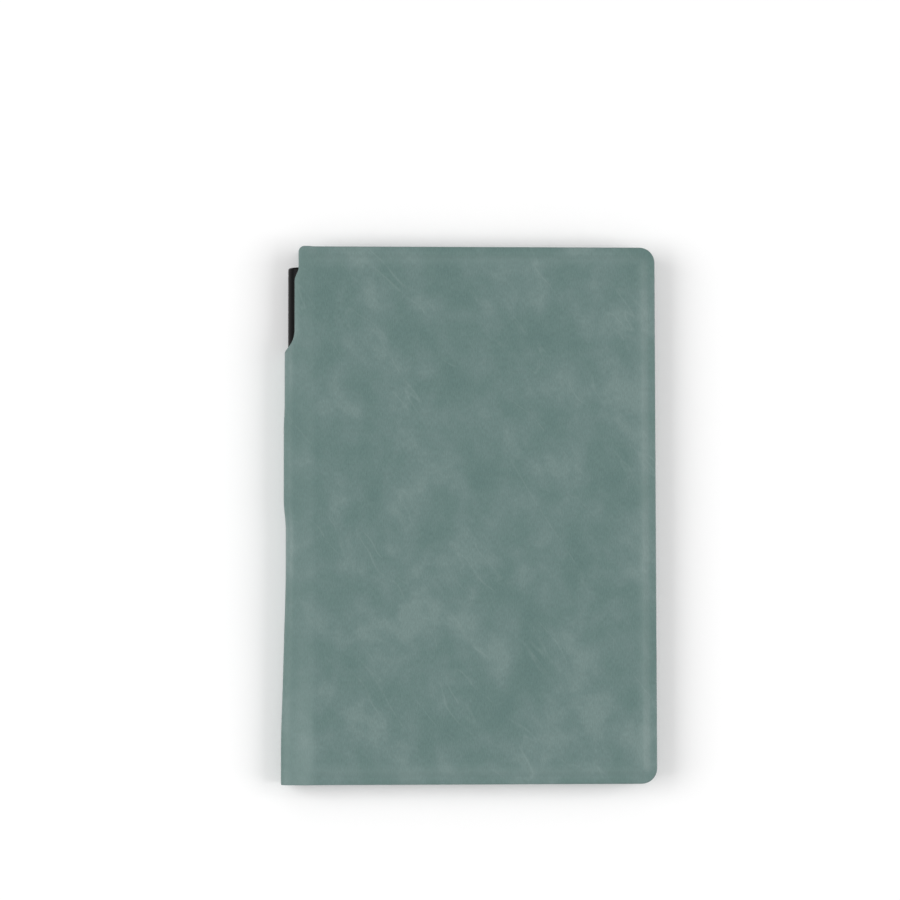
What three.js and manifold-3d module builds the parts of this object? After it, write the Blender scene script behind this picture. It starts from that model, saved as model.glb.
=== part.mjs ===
// A5 whiteboard notebook: two stiff covers joined by one soft leather spine. Each cover is a
// leather skin, a grey board, a black lining and a glossy whiteboard panel. A dry-erase marker
// lies in an elastic loop inside the spine, and a folded eraser cloth lies between the boards.
// Millimetres. Closed, lying on its back cover: +X to the fore-edge, +Y to the top, +Z up.
import * as THREE from "three";
import { mergeVertices } from "three/addons/utils/BufferGeometryUtils.js";
import Module from "manifold-3d";

// Covers
const height = 215;
const width = 149;
const foreCornerRadius = 6.2;
const leather = 0.9;
const board = 2.0;
const lining = 0.5;
const whiteboard = 1.2;
const glueGap = 0.3; // round a board's edges, inside the leather

// Edges of a cover
const rimWidth = 3.0; // the leather turned in on itself, two layers thick
const rimLayers = 2;
const slopeWidth = 3.4; // from the rim up to the flat of the cover
const leastRadius = 0.6; // of a plate's corners, where the outline's own radius is used up
const liningInset = 1.0;
const whiteboardInset = 4.0; // the black border round the whiteboard
const whiteboardRadius = 5.0;
const softMargin = 12.5; // from the spine's outer face to the edge of the stiff board
const liningSlope = 2.0; // where the lining steps down from the board to the soft flap
const whiteboardMargin = 2.0; // from the board's spine-side edge to the whiteboard

// Soft spine and the cut-out at its top end
const foldRadius = 4.0;
const seamGap = 0.3;
const topRecessDepth = 8.9; // where the flap's edge turns outward, below the top edge
const topRecessWidth = 1.55; // how far the flap is narrower there
const recessCurve = 5.0;
const recessPull = 3.0; // how far each end of that curve runs straight on
const flapCornerRadius = 2.4;
const cutOutStraight = 34; // straight sides of the cut-out, below the top edge
const cutOutRound = 9; // depth of its round end

// Marker, measured along its length from the end of the cap
const markerLength = 125;
const markerBelowTop = 8.4;
const barrelRadius = 4.6;
const barrelWall = 0.7;
const barrelTaper = 0.5;
const barrelTaperLength = 2;
const capLength = 38;
const capRadius = 5.2;
const capWall = 0.7;
const capEnd = 1.4;
const capRound = 0.8;
const partClearance = 0.3;
const nibRadius = 1.2;
const nibTipAt = 8;
const nibTipLength = 2.4;
const nibShoulderRadius = 0.96;
const nibShoulderDepth = 0.84; // below the nib's tip
const nibPointRadius = 0.48;
const nibReach = 6; // how far the nib's tail stands in the reservoir
const noseTipAt = 12;
const noseTipRadius = 2.1;
const noseConeLength = 9;
const noseShoulderRadius = 3.4;
const noseShoulderLength = 1;
const spigotLength = 8;
const reservoirLength = 60;
const plugLength = 5;
const plugRound = 1.2;
const sealWall = 0.5;
const sealLength = 9;

// Elastic pen loop, sewn to the spine lining
const loopThickness = 0.6;
const loopWidth = 25;
const loopCentreY = 22;
const loopBaseHeight = 6.2;

// Eraser cloth, folded in four
const clothSide = 60;
const clothLayers = 4;
const clothCentreX = 12;
const clothCentreY = 4;
const clothSlit = 0.25;
const clothFold = 1.4;
const clothRound = 0.6;

// Facets
const cornerFacets = 10;
const foldFacets = 8;
const roundFacets = 36;
const endFacets = 5;
const clothFacets = 3;

// Places worked out from the sizes above
const spineX = -width / 2;
const foreX = width / 2;
const topY = height / 2;
const flap = leather + lining;
const loopBore = barrelRadius + partClearance;
const loopOuter = loopBore + loopThickness;
const thickness = 2 * (flap + partClearance + loopOuter);
const markerX = spineX + flap + loopOuter;
const markerZ = thickness / 2;
const markerTopY = topY - markerBelowTop;
const rimTop = leather + board;
const rimDrop = rimTop - rimLayers * leather;
const boardTop = rimTop + lining;
const coverThickness = boardTop + whiteboard;
const flapX = spineX + foldRadius + seamGap;
const boardX = spineX + softMargin;
const plateauInset = rimWidth + slopeWidth;
const beyond = 20; // how far cutting shapes reach past what they cut
const weld = 1e-4; // corners closer together than this are one corner

// Places along the marker and its radii, worked out from the sizes above
const barrelStart = capLength + partClearance;
const plugStart = markerLength - plugLength;
const noseEnd = barrelStart + spigotLength;
const reservoirStart = noseEnd + partClearance;
const reservoirEnd = reservoirStart + reservoirLength;
const nibEnd = reservoirStart + nibReach;
const capBore = capRadius - capWall;
const noseRadius = capBore - partClearance;
const nibBore = nibRadius + partClearance;
const barrelBore = barrelRadius - barrelWall;
const spigotRadius = barrelBore - partClearance;

const wasm = await Module();
wasm.setup();

function toSolid(geometry) {
  const bare = geometry.index ? geometry.toNonIndexed() : geometry.clone();
  bare.deleteAttribute("normal");
  bare.deleteAttribute("uv");
  const merged = mergeVertices(bare, weld);
  return new wasm.Manifold(
    new wasm.Mesh({
      numProp: 3,
      vertProperties: merged.attributes.position.array,
      triVerts: new Uint32Array(merged.index.array),
    }),
  );
}

function toGeometry(solid) {
  const mesh = solid.getMesh();
  const shared = new THREE.BufferGeometry();
  shared.setAttribute("position", new THREE.BufferAttribute(mesh.vertProperties, 3));
  shared.setIndex(new THREE.BufferAttribute(mesh.triVerts, 1));
  const geometry = shared.toNonIndexed();
  geometry.computeVertexNormals();
  return geometry;
}

// A shape drawn in X and Y, standing from z = low to z = high.
function standing(shape, low, high) {
  const options = { depth: high - low, bevelEnabled: false, curveSegments: cornerFacets };
  return new THREE.ExtrudeGeometry(shape, options).translate(0, 0, low);
}

// A section drawn in X and Z, running along Y from low to high.
function alongY(shape, low, high) {
  const options = { depth: high - low, bevelEnabled: false, curveSegments: foldFacets };
  return new THREE.ExtrudeGeometry(shape, options).rotateX(Math.PI / 2).translate(0, high, 0);
}

// A shape drawn in Y and Z, running along X from low to high.
function alongX(shape, low, high) {
  const options = { depth: high - low, bevelEnabled: false, curveSegments: roundFacets };
  const turned = new THREE.Matrix4().makeBasis(
    new THREE.Vector3(0, 1, 0),
    new THREE.Vector3(0, 0, 1),
    new THREE.Vector3(1, 0, 0),
  );
  return new THREE.ExtrudeGeometry(shape, options).applyMatrix4(turned).translate(low, 0, 0);
}

// A box given by its lowest and highest corners.
function block(low, high) {
  const box = new THREE.BoxGeometry(high[0] - low[0], high[1] - low[1], high[2] - low[2]);
  return box.translate((low[0] + high[0]) / 2, (low[1] + high[1]) / 2, (low[2] + high[2]) / 2);
}

function polygon(points) {
  return new THREE.Shape(points.map(([u, v]) => new THREE.Vector2(u, v)));
}

// A rectangle with its own corner radius on the left and on the right.
function roundedRectangle(left, right, bottom, top, leftRadius, rightRadius) {
  const shape = new THREE.Shape();
  shape.moveTo(left + leftRadius, bottom);
  shape.lineTo(right - rightRadius, bottom);
  shape.absarc(right - rightRadius, bottom + rightRadius, rightRadius, -Math.PI / 2, 0, false);
  shape.lineTo(right, top - rightRadius);
  shape.absarc(right - rightRadius, top - rightRadius, rightRadius, 0, Math.PI / 2, false);
  shape.lineTo(left + leftRadius, top);
  shape.absarc(left + leftRadius, top - leftRadius, leftRadius, Math.PI / 2, Math.PI, false);
  shape.lineTo(left, bottom + leftRadius);
  shape.absarc(left + leftRadius, bottom + leftRadius, leftRadius, Math.PI, 1.5 * Math.PI, false);
  return shape;
}

// A cover's outline: round fore-edge corners, and on the spine side a flap that is narrower
// above the cut-out and swings out to the fold below it.
function coverOutline(inset) {
  const right = foreX - inset;
  const top = topY - inset;
  const radius = foreCornerRadius - inset;
  const narrowX = flapX + topRecessWidth;
  const turnY = topY - topRecessDepth;
  const corner = flapCornerRadius;
  const shape = new THREE.Shape();
  shape.moveTo(flapX, -top);
  shape.lineTo(right - radius, -top);
  shape.absarc(right - radius, radius - top, radius, -Math.PI / 2, 0, false);
  shape.lineTo(right, top - radius);
  shape.absarc(right - radius, top - radius, radius, 0, Math.PI / 2, false);
  shape.lineTo(narrowX + corner, top);
  shape.absarc(narrowX + corner, top - corner, corner, Math.PI / 2, Math.PI, false);
  shape.lineTo(narrowX, turnY);
  const endY = turnY - recessCurve;
  shape.bezierCurveTo(narrowX, turnY - recessPull, flapX, endY + recessPull, flapX, endY);
  return shape;
}

// A plate with a slope round three sides: it starts at its inset at z = low, is slopeWidth
// larger at z = low + rimDrop, and goes on to z = high. It runs past the spine side.
function slopedPlate(inset, left, low, high) {
  const right = foreX - inset;
  const top = topY - inset;
  const radius = Math.max(foreCornerRadius - inset, leastRadius);
  const shape = roundedRectangle(left - beyond, right, -top, top, leastRadius, radius);
  const sloped = new THREE.ExtrudeGeometry(shape, {
    depth: high - low - 2 * rimDrop,
    bevelEnabled: true,
    bevelThickness: rimDrop,
    bevelSize: slopeWidth,
    bevelSegments: 1,
    curveSegments: cornerFacets,
  }).translate(0, 0, low + rimDrop);
  return toSolid(sloped);
}

// The board's solid; grown by a clearance it is also the pocket that the board lies in.
function boardSolid(clearance) {
  const above = board + 2 * rimDrop; // the second slope, above the board, is cut away
  const inset = plateauInset + leather - clearance;
  const plate = slopedPlate(inset, boardX, leather, leather + above);
  const keep = block([boardX - clearance, -topY, leather], [foreX, topY, rimTop]);
  return plate.intersect(toSolid(keep));
}

function leatherGeometry() {
  const rim = toSolid(standing(coverOutline(0), rimDrop, rimTop));
  const panel = slopedPlate(plateauInset, flapX, 0, rimTop + 2 * rimDrop);
  const outline = toSolid(standing(coverOutline(0), 0, rimTop));
  const flapZone = toSolid(block([spineX, -topY, leather], [boardX - glueGap, topY, rimTop]));
  const flapPlate = toSolid(block([spineX, -topY, 0], [boardX, topY, leather]));
  return toGeometry(
    panel.add(rim).add(flapPlate).intersect(outline).subtract(flapZone).subtract(boardSolid(glueGap)),
  );
}

// The lining lies on the board and on the rim, and steps down on to the leather of the flap.
function liningGeometry() {
  const stepX = boardX - glueGap;
  const section = polygon([
    [flapX, leather],
    [stepX - liningSlope, leather],
    [stepX - seamGap, rimTop],
    [foreX, rimTop],
    [foreX, boardTop],
    [stepX - seamGap - lining / 2, boardTop],
    [stepX - liningSlope - lining / 2, flap],
    [flapX, flap],
  ]);
  const outline = toSolid(standing(coverOutline(liningInset), 0, coverThickness));
  return toGeometry(toSolid(alongY(section, -topY, topY)).intersect(outline));
}

function whiteboardGeometry() {
  const left = boardX + whiteboardMargin;
  const right = foreX - whiteboardInset;
  const top = topY - whiteboardInset;
  const radius = whiteboardRadius;
  const shape = roundedRectangle(left, right, -top, top, radius, radius);
  return standing(shape, boardTop, coverThickness);
}

// One layer of the spine: a channel open to the fore-edge, from `outside` to `inside`
// beneath the outer face, cut out round the marker's cap at the top end.
function spineLayer(outside, inside) {
  const right = spineX + foldRadius;
  const section = new THREE.Shape();
  const outerRadius = foldRadius - outside;
  const innerRadius = foldRadius - inside;
  const upper = thickness - foldRadius;
  section.moveTo(right, outside);
  section.lineTo(right, inside);
  section.absarc(right, foldRadius, innerRadius, 1.5 * Math.PI, Math.PI, true);
  section.lineTo(spineX + inside, upper);
  section.absarc(right, upper, innerRadius, Math.PI, Math.PI / 2, true);
  section.lineTo(right, thickness - outside);
  section.absarc(right, upper, outerRadius, Math.PI / 2, Math.PI, false);
  section.lineTo(spineX + outside, foldRadius);
  section.absarc(right, foldRadius, outerRadius, Math.PI, 1.5 * Math.PI, false);
  const channel = toSolid(alongY(section, -topY, topY - cutOutStraight));
  const roundEnd = new THREE.Shape();
  roundEnd.absellipse(
    topY - cutOutStraight,
    markerZ,
    cutOutRound,
    markerZ,
    0,
    2 * Math.PI,
    false,
    0,
  );
  return toGeometry(channel.subtract(toSolid(alongX(roundEnd, spineX - beyond, spineX + beyond))));
}

// A band that goes round the barrel, with a flat base against the spine lining.
function penLoopGeometry() {
  const base = spineX + flap;
  const half = loopBaseHeight / 2;
  const meet = Math.asin(half / loopOuter);
  const band = new THREE.Shape();
  band.moveTo(base, markerZ - half);
  band.absarc(markerX, markerZ, loopOuter, meet - Math.PI, Math.PI - meet, false);
  band.lineTo(base, markerZ + half);
  const bore = new THREE.Path();
  bore.absarc(markerX, markerZ, loopBore, 0, 2 * Math.PI, true);
  band.holes.push(bore);
  const options = { depth: loopWidth, bevelEnabled: false, curveSegments: roundFacets };
  return new THREE.ExtrudeGeometry(band, options)
    .rotateX(Math.PI / 2)
    .translate(0, loopCentreY + loopWidth / 2, 0);
}

// A turned piece of the marker. Its profile lists a radius and a place along the marker,
// measured from the end of the cap, going round the section so that faces point out.
function turned(profile) {
  const points = profile.map(([radius, at]) => new THREE.Vector2(radius, -at));
  return new THREE.LatheGeometry(points, roundFacets);
}

// Points of a quarter round, from angle `from` to `to`, for a rounded end.
function quarter(radius, at, size, from, to) {
  return Array.from({ length: endFacets + 1 }, (_, i) => {
    const angle = from + ((to - from) * i) / endFacets;
    return [radius + size * Math.cos(angle), at - size * Math.sin(angle)];
  });
}

function capGeometry() {
  return turned([
    [0, capEnd],
    [capBore, capEnd],
    [capBore, capLength],
    [capRadius, capLength],
    ...quarter(capRadius - capRound, capRound, capRound, 0, Math.PI / 2),
    [0, 0],
  ]);
}

function sealGeometry() {
  const outer = noseRadius;
  const bore = noseRadius - sealWall;
  const end = capEnd + sealLength;
  return turned([[bore, capEnd], [bore, end], [outer, end], [outer, capEnd], [bore, capEnd]]);
}

function noseGeometry() {
  return turned([
    [nibBore, noseTipAt],
    [nibBore, noseEnd],
    [spigotRadius, noseEnd],
    [spigotRadius, barrelStart - partClearance],
    [noseRadius, barrelStart - partClearance],
    [noseRadius, noseTipAt + noseConeLength + noseShoulderLength],
    [noseShoulderRadius, noseTipAt + noseConeLength],
    [noseTipRadius, noseTipAt],
    [nibBore, noseTipAt],
  ]);
}

function nibGeometry() {
  return turned([
    [0, nibEnd],
    [nibRadius, nibEnd],
    [nibRadius, nibTipAt + nibTipLength],
    [nibShoulderRadius, nibTipAt + nibShoulderDepth],
    [nibPointRadius, nibTipAt],
    [0, nibTipAt],
  ]);
}

function reservoirGeometry() {
  return turned([
    [0, nibEnd + partClearance],
    [nibBore, nibEnd + partClearance],
    [nibBore, reservoirStart],
    [spigotRadius, reservoirStart],
    [spigotRadius, reservoirEnd],
    [0, reservoirEnd],
  ].reverse());
}

function barrelGeometry() {
  return turned([
    [barrelBore, barrelStart],
    [barrelBore, plugStart],
    [barrelRadius - barrelTaper, plugStart],
    [barrelRadius, plugStart - barrelTaperLength],
    [barrelRadius, barrelStart],
    [barrelBore, barrelStart],
  ]);
}

function plugGeometry() {
  const head = barrelRadius - barrelTaper;
  const round = quarter(head - plugRound, markerLength - plugRound, plugRound, 0, -Math.PI / 2);
  return turned([
    [0, markerLength],
    ...round.reverse(),
    [head, plugStart],
    [spigotRadius, plugStart],
    [spigotRadius, reservoirEnd + partClearance],
    [0, reservoirEnd + partClearance],
  ]);
}

// The cloth is folded from left to right and then from bottom to top: slits part its layers.
function clothGeometry() {
  const low = coverThickness + partClearance;
  const high = thickness - low;
  const half = clothSide / 2;
  const layer = (high - low) / clothLayers;
  const shape = roundedRectangle(
    clothCentreX - half + clothRound,
    clothCentreX + half - clothRound,
    clothCentreY - half + clothRound,
    clothCentreY + half - clothRound,
    clothFold,
    clothFold,
  );
  const slab = new THREE.ExtrudeGeometry(shape, {
    depth: high - low - 2 * clothRound,
    bevelEnabled: true,
    bevelThickness: clothRound,
    bevelSize: clothRound,
    bevelSegments: clothFacets,
    curveSegments: clothFacets,
  }).translate(0, 0, low + clothRound);
  let cloth = toSolid(slab);
  for (let i = 1; i < clothLayers; i++) {
    const middle = low + i * layer;
    const across = i % 2 === 1;
    const left = clothCentreX - half + (across ? clothFold : -beyond);
    const bottom = clothCentreY - half + (across ? -beyond : clothFold);
    const slit = block(
      [left, bottom, middle - clothSlit / 2],
      [clothCentreX + half + beyond, clothCentreY + half + beyond, middle + clothSlit / 2],
    );
    cloth = cloth.subtract(toSolid(slit));
  }
  return toGeometry(cloth);
}

const colours = {
  leather: new THREE.MeshStandardMaterial({ color: 0x6e8481, roughness: 0.55, metalness: 0 }),
  board: new THREE.MeshStandardMaterial({ color: 0x8c8a84, roughness: 0.9, metalness: 0 }),
  lining: new THREE.MeshStandardMaterial({ color: 0x1b1b1d, roughness: 0.75, metalness: 0 }),
  whiteboard: new THREE.MeshStandardMaterial({ color: 0xf4f5f4, roughness: 0.15, metalness: 0 }),
  elastic: new THREE.MeshStandardMaterial({ color: 0x151516, roughness: 0.9, metalness: 0 }),
  blackPlastic: new THREE.MeshStandardMaterial({ color: 0x141414, roughness: 0.3, metalness: 0 }),
  whitePlastic: new THREE.MeshStandardMaterial({ color: 0xefece4, roughness: 0.35, metalness: 0 }),
  felt: new THREE.MeshStandardMaterial({ color: 0x202022, roughness: 1, metalness: 0 }),
  fibre: new THREE.MeshStandardMaterial({ color: 0x3a3a40, roughness: 1, metalness: 0 }),
  cloth: new THREE.MeshStandardMaterial({ color: 0xd9b4b0, roughness: 1, metalness: 0 }),
};

function piece(name, geometry, material) {
  const mesh = new THREE.Mesh(geometry, material.clone());
  mesh.name = name;
  return mesh;
}

// One cover, drawn as the back cover; the front cover is the same, turned over.
function cover(side) {
  const group = new THREE.Group();
  group.add(
    piece(`${side}_cover_leather`, leatherGeometry(), colours.leather),
    piece(`${side}_cover_board`, toGeometry(boardSolid(0)), colours.board),
    piece(`${side}_cover_lining`, liningGeometry(), colours.lining),
    piece(`${side}_whiteboard`, whiteboardGeometry(), colours.whiteboard),
  );
  return group;
}

function spine() {
  const group = new THREE.Group();
  group.add(
    piece("spine_leather", spineLayer(0, leather), colours.leather),
    piece("spine_lining", spineLayer(leather, flap), colours.lining),
    piece("pen_loop", penLoopGeometry(), colours.elastic),
  );
  return group;
}

function marker() {
  const group = new THREE.Group();
  group.add(
    piece("marker_cap", capGeometry(), colours.blackPlastic),
    piece("marker_cap_seal", sealGeometry(), colours.whitePlastic),
    piece("marker_nose", noseGeometry(), colours.blackPlastic),
    piece("marker_nib", nibGeometry(), colours.felt),
    piece("marker_ink_reservoir", reservoirGeometry(), colours.fibre),
    piece("marker_barrel", barrelGeometry(), colours.whitePlastic),
    piece("marker_end_plug", plugGeometry(), colours.blackPlastic),
  );
  group.position.set(markerX, markerTopY, markerZ);
  return group;
}

const notebook = new THREE.Group();
const frontCover = cover("front");
frontCover.scale.z = -1;
frontCover.position.z = thickness;
notebook.add(cover("back"), frontCover, spine(), marker());
notebook.add(piece("eraser_cloth", clothGeometry(), colours.cloth));

export default notebook;
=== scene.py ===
import math

import bmesh
import bpy
import numpy as np
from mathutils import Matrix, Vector


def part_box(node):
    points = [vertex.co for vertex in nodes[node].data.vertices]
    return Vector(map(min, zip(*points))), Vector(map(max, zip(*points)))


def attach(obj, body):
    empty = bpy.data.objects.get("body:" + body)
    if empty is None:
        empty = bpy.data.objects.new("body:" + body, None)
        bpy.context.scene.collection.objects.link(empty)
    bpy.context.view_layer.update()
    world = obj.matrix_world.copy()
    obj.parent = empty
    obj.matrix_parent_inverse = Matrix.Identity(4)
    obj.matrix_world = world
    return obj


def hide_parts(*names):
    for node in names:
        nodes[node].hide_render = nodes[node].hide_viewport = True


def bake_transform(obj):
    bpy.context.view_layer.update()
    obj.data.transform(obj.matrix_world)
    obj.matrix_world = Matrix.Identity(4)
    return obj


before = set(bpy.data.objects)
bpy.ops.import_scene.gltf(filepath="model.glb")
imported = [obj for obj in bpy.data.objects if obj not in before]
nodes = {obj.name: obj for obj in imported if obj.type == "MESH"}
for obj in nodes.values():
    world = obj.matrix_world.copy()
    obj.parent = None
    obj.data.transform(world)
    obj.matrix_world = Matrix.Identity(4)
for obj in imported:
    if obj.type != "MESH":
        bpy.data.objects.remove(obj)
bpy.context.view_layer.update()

MM = 0.001


# The stiff boards: two sheets of grey bookbinding board, cut by a die and chamfered where the
# leather is drawn down over their edges. They are sealed in between the leather and the lining.

def feed(socket, value):
    """Wires another node's output into a socket, or gives the socket a plain value."""
    if isinstance(value, bpy.types.NodeSocket):
        socket.id_data.links.new(value, socket)
    else:
        socket.default_value = value


def new_material(name):
    """Helpers for a new material. The first adds a node, with its inputs and settings by name.
    The second takes a table of inputs for the shader, and returns the material."""
    material = bpy.data.materials.new(name)
    material.use_nodes = True
    tree = material.node_tree

    def add(kind, **settings):
        node = tree.nodes.new(kind)
        for key, value in settings.items():
            if key in node.inputs:
                feed(node.inputs[key], value)
            else:
                setattr(node, key, value)
        return node

    def dress(inputs):
        for key, value in inputs.items():
            feed(tree.nodes["Principled BSDF"].inputs[key], value)
        return material

    return add, dress


def srgb(red, green, blue):
    """A colour read off as 0 to 255 in sRGB, as the linear values that shaders take."""
    def linear(value):
        value /= 255
        return value / 12.92 if value <= 0.04045 else ((value + 0.055) / 1.055) ** 2.4
    return linear(red), linear(green), linear(blue), 1


def ramp(add, factor, stops):
    """The colour that a factor gives between (place, colour) stops; a plain number is a grey."""
    node = add("ShaderNodeValToRGB", Fac=factor)
    elements = node.color_ramp.elements
    while len(elements) < len(stops):
        elements.new(0.5)
    for element, (place, colour) in zip(elements, stops):
        element.position = place
        element.color = colour if isinstance(colour, tuple) else (colour, colour, colour, 1)
    return node.outputs["Color"]


def bump(add, height, strength, distance):
    """The normal that a height gives."""
    node = add("ShaderNodeBump", Height=height, Strength=strength, Distance=distance)
    return node.outputs["Normal"]


def greyboard():
    """Pressed waste-paper board: grey with short darker and lighter fibres."""
    add, dress = new_material("greyboard")
    place = add("ShaderNodeTexCoord").outputs["Object"]
    noise = add("ShaderNodeTexNoise", Vector=place, Scale=900.0, Detail=6.0, Roughness=0.7)
    fibres = noise.outputs["Fac"]
    tint = ramp(add, fibres, [
        (0.3, srgb(118, 115, 108)),
        (0.55, srgb(150, 147, 139)),
        (0.8, srgb(176, 172, 163)),
    ])
    return dress({
        "Base Color": tint,
        "Roughness": 0.9,
        "Normal": bump(add, fibres, strength=0.4, distance=0.05 * MM),
    })


def finish_node(name, material):
    """Gives a CAD node a better material in its own slot."""
    mesh = nodes[name].data
    mesh.materials.clear()
    mesh.materials.append(material)


board_material = greyboard()
for name in ("back_cover_board", "front_cover_board"):
    finish_node(name, board_material)


# The cover leather: one skin of polyurethane leather, brushed so that its grey-green colour
# clouds, laid over both boards and round the soft spine. Its three outer edges are turned in
# on themselves and pressed, and it is cut out round the marker's cap at the top of the spine.
# It is made as two halves that meet on the middle line of the spine, one to bend at each fold.

spine_low, spine_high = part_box("spine_leather")
cover_low, cover_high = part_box("front_cover_leather")
board_low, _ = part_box("front_cover_board")

thickness = cover_high.z
spine_x = spine_low.x
top_y = cover_high.y
fold_radius = spine_high.x - spine_low.x
spine_flat = thickness / 2 - fold_radius  # from the middle line to the start of a fold
flap_start = spine_flat + fold_radius * math.pi / 2  # along the leather, from the middle line
fore_edge = flap_start + cover_high.x - spine_x - fold_radius
board_edge = board_low.x - spine_x - fold_radius + flap_start

LEATHER = 0.9 * MM
FORE_CORNER = 6.2 * MM
RIM = 3.0 * MM
RIM_SLOPE = 3.6 * MM
RIM_SHARPNESS = 0.5 * MM  # how far the slope reaches into the rim
rim_inner = cover_low.z - thickness  # the lining's side of the turned-in rim, below the face
rim_drop = -rim_inner - 2 * LEATHER
CREASE = 0.08 * MM
CREASE_WIDTH = 0.45 * MM
LOW_RIDGE = 1.2 * MM  # from the top of the slope to the ridge that the board's edge raises
LOW_RIDGE_WIDTH = 1.1 * MM
BOARD_STEP = 2.2 * MM  # length of the step that the lining makes at the board's edge

CUT_OUT_STRAIGHT = spine_high.y  # the cut-out's straight sides end where the spine leather does
CUT_OUT_ROUND = 9.0 * MM
CUT_OUT_MARGIN = 0.3 * MM  # from the end of the fold to the flap's cut edge
RECESS = 8.9 * MM  # from the top edge to where the flap is cut back to its end
RECESS_CURVE = 5.0 * MM
RECESS_STEP = 1.55 * MM
FLAP_CORNER = 2.4 * MM

SPINE_PUSHED_OUT = 0.98 * MM
SPINE_DRAWN_IN = 0.85 * MM
LOOP_DRAWN_IN = 0.35 * MM
FLAP_DIP = 1.7 * MM
FLAP_CURL = 0.75 * MM
CRINKLE = 0.05 * MM
EDGE_STEPS = 6  # facets round a rolled edge
CLOSEST_ROWS = 0.01 * MM


def rise(value, start, end):
    """0 before start, 1 past end and a smooth step between. start may be the higher one."""
    share = np.clip((value - start) / (end - start), 0, 1)
    return share * share * (3 - 2 * share)


def ridge_at(value, place, width):
    """A bell-shaped ridge, 1 high at place and fading over width."""
    return np.exp(-(((value - place) / width) ** 2))


def round_off(into, corner):
    """How far a corner's round draws the outline in, where into runs from 0 to 1 along it."""
    return corner * (1 - np.sqrt(1 - into**2))


def bow(y):
    """How far the spine stands out from its straight line: pushed out below the marker's end,
    where the fold is sharper, and drawn in beside the barrel and above its loop."""
    below_marker = rise(y, -52 * MM, -94 * MM)
    beside_barrel = rise(y, 6 * MM, -6 * MM) * rise(y, -62 * MM, -22 * MM)
    above_loop = rise(y, 34 * MM, 44 * MM) * rise(y, 73 * MM, 67 * MM)
    drawn_in = SPINE_DRAWN_IN * beside_barrel + LOOP_DRAWN_IN * above_loop
    return SPINE_PUSHED_OUT * below_marker - drawn_in


def dip(y):
    """How far the flap sinks towards the middle where no marker holds it up."""
    return FLAP_DIP * rise(y, -30 * MM, -90 * MM)


def curl(a, y):
    """How far the flap's cut edge beside the cap curls down."""
    near_edge = rise(a, flap_start + 2.6 * MM, flap_start) * rise(a, spine_flat, flap_start)
    return FLAP_CURL * near_edge * rise(y, CUT_OUT_STRAIGHT - 4 * MM, CUT_OUT_STRAIGHT + 4 * MM)


def wrap(a, y, h, side):
    """Places points of the developed skin: a along it from the spine's middle line, y up it,
    h above its outer face. side is 1 for the front cover and -1 for the back cover."""
    turn = np.clip((a - spine_flat) / fold_radius, 0, math.pi / 2)
    x = spine_x + fold_radius - (fold_radius + h) * np.cos(turn)
    z = thickness - fold_radius + (fold_radius + h) * np.sin(turn)
    x = np.where(a > flap_start, spine_x + fold_radius + a - flap_start, x)
    z = np.where(a < spine_flat, thickness / 2 + a, z)
    x = x - bow(y) * rise(a, board_edge - 1.5 * MM, spine_flat - 1.5 * MM)
    shoulder = rise(a, 0, 0.9 * flap_start) * rise(a, board_edge, board_edge - 9 * MM)
    z = z - dip(y) * shoulder - curl(a, y)
    on_flap = rise(a, spine_flat, spine_flat + 3 * MM) * rise(a, board_edge, flap_start - 2 * MM)
    waves = np.sin(y / (11 * MM) + 1.3) * np.sin(y / (4.3 * MM) + a / (7 * MM))
    z = z + CRINKLE * on_flap * (1 + waves) * (h > -LEATHER / 2)
    return np.stack([x, y, z if side > 0 else thickness - z], axis=-1)


def left_edge(y, inset):
    """Where the skin starts on a row at height y: the middle line, the cut-out, or the flap."""
    deep = CUT_OUT_ROUND + inset
    wide = flap_start + CUT_OUT_MARGIN + inset
    below = np.clip((CUT_OUT_STRAIGHT - y) / deep, 0, 1)
    start = np.where(y > CUT_OUT_STRAIGHT - deep, wide * np.sqrt(1 - below**2), 0.0)
    recess_y = top_y - RECESS
    start = start + RECESS_STEP * rise(y, recess_y - RECESS_CURVE, recess_y)
    corner = FLAP_CORNER - inset
    into = np.clip((y - (top_y - inset - corner)) / corner, 0, 1)
    return start + round_off(into, corner)


def right_edge(y, inset):
    """Where the skin ends on a row at height y, with its round fore-edge corners."""
    corner = FORE_CORNER - inset
    into = np.clip((np.abs(y) - (top_y - FORE_CORNER)) / corner, 0, 1)
    return fore_edge - inset - round_off(into, corner)


def rows_of(inset):
    """Heights of the rows, closer together in corners and round the cut-out."""
    end = top_y - inset
    corner_turns = np.linspace(0, math.pi / 2, 9)
    fore = top_y - FORE_CORNER + (FORE_CORNER - inset) * np.sin(corner_turns)
    flap = end - (FLAP_CORNER - inset) * (1 - np.sin(corner_turns))
    cut = CUT_OUT_STRAIGHT - (CUT_OUT_ROUND + inset) * np.sin(np.linspace(0, math.pi / 2, 31))
    recess = np.linspace(top_y - RECESS - RECESS_CURVE, top_y - RECESS, 9)
    plain = np.linspace(-end, end, 96)
    rows = np.sort(np.concatenate([plain, fore, -fore, flap, cut, recess]))
    kept = [rows[0]]
    for y in rows[1:]:
        if y - kept[-1] > CLOSEST_ROWS:
            kept.append(y)
    kept[-1] = end  # the end itself may have been left out
    kept = np.array(kept)
    low_cut = CUT_OUT_STRAIGHT - CUT_OUT_ROUND - inset  # one row lies at the cut-out's low end
    kept[np.argmin(np.abs(kept - low_cut))] = low_cut
    return kept


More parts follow.
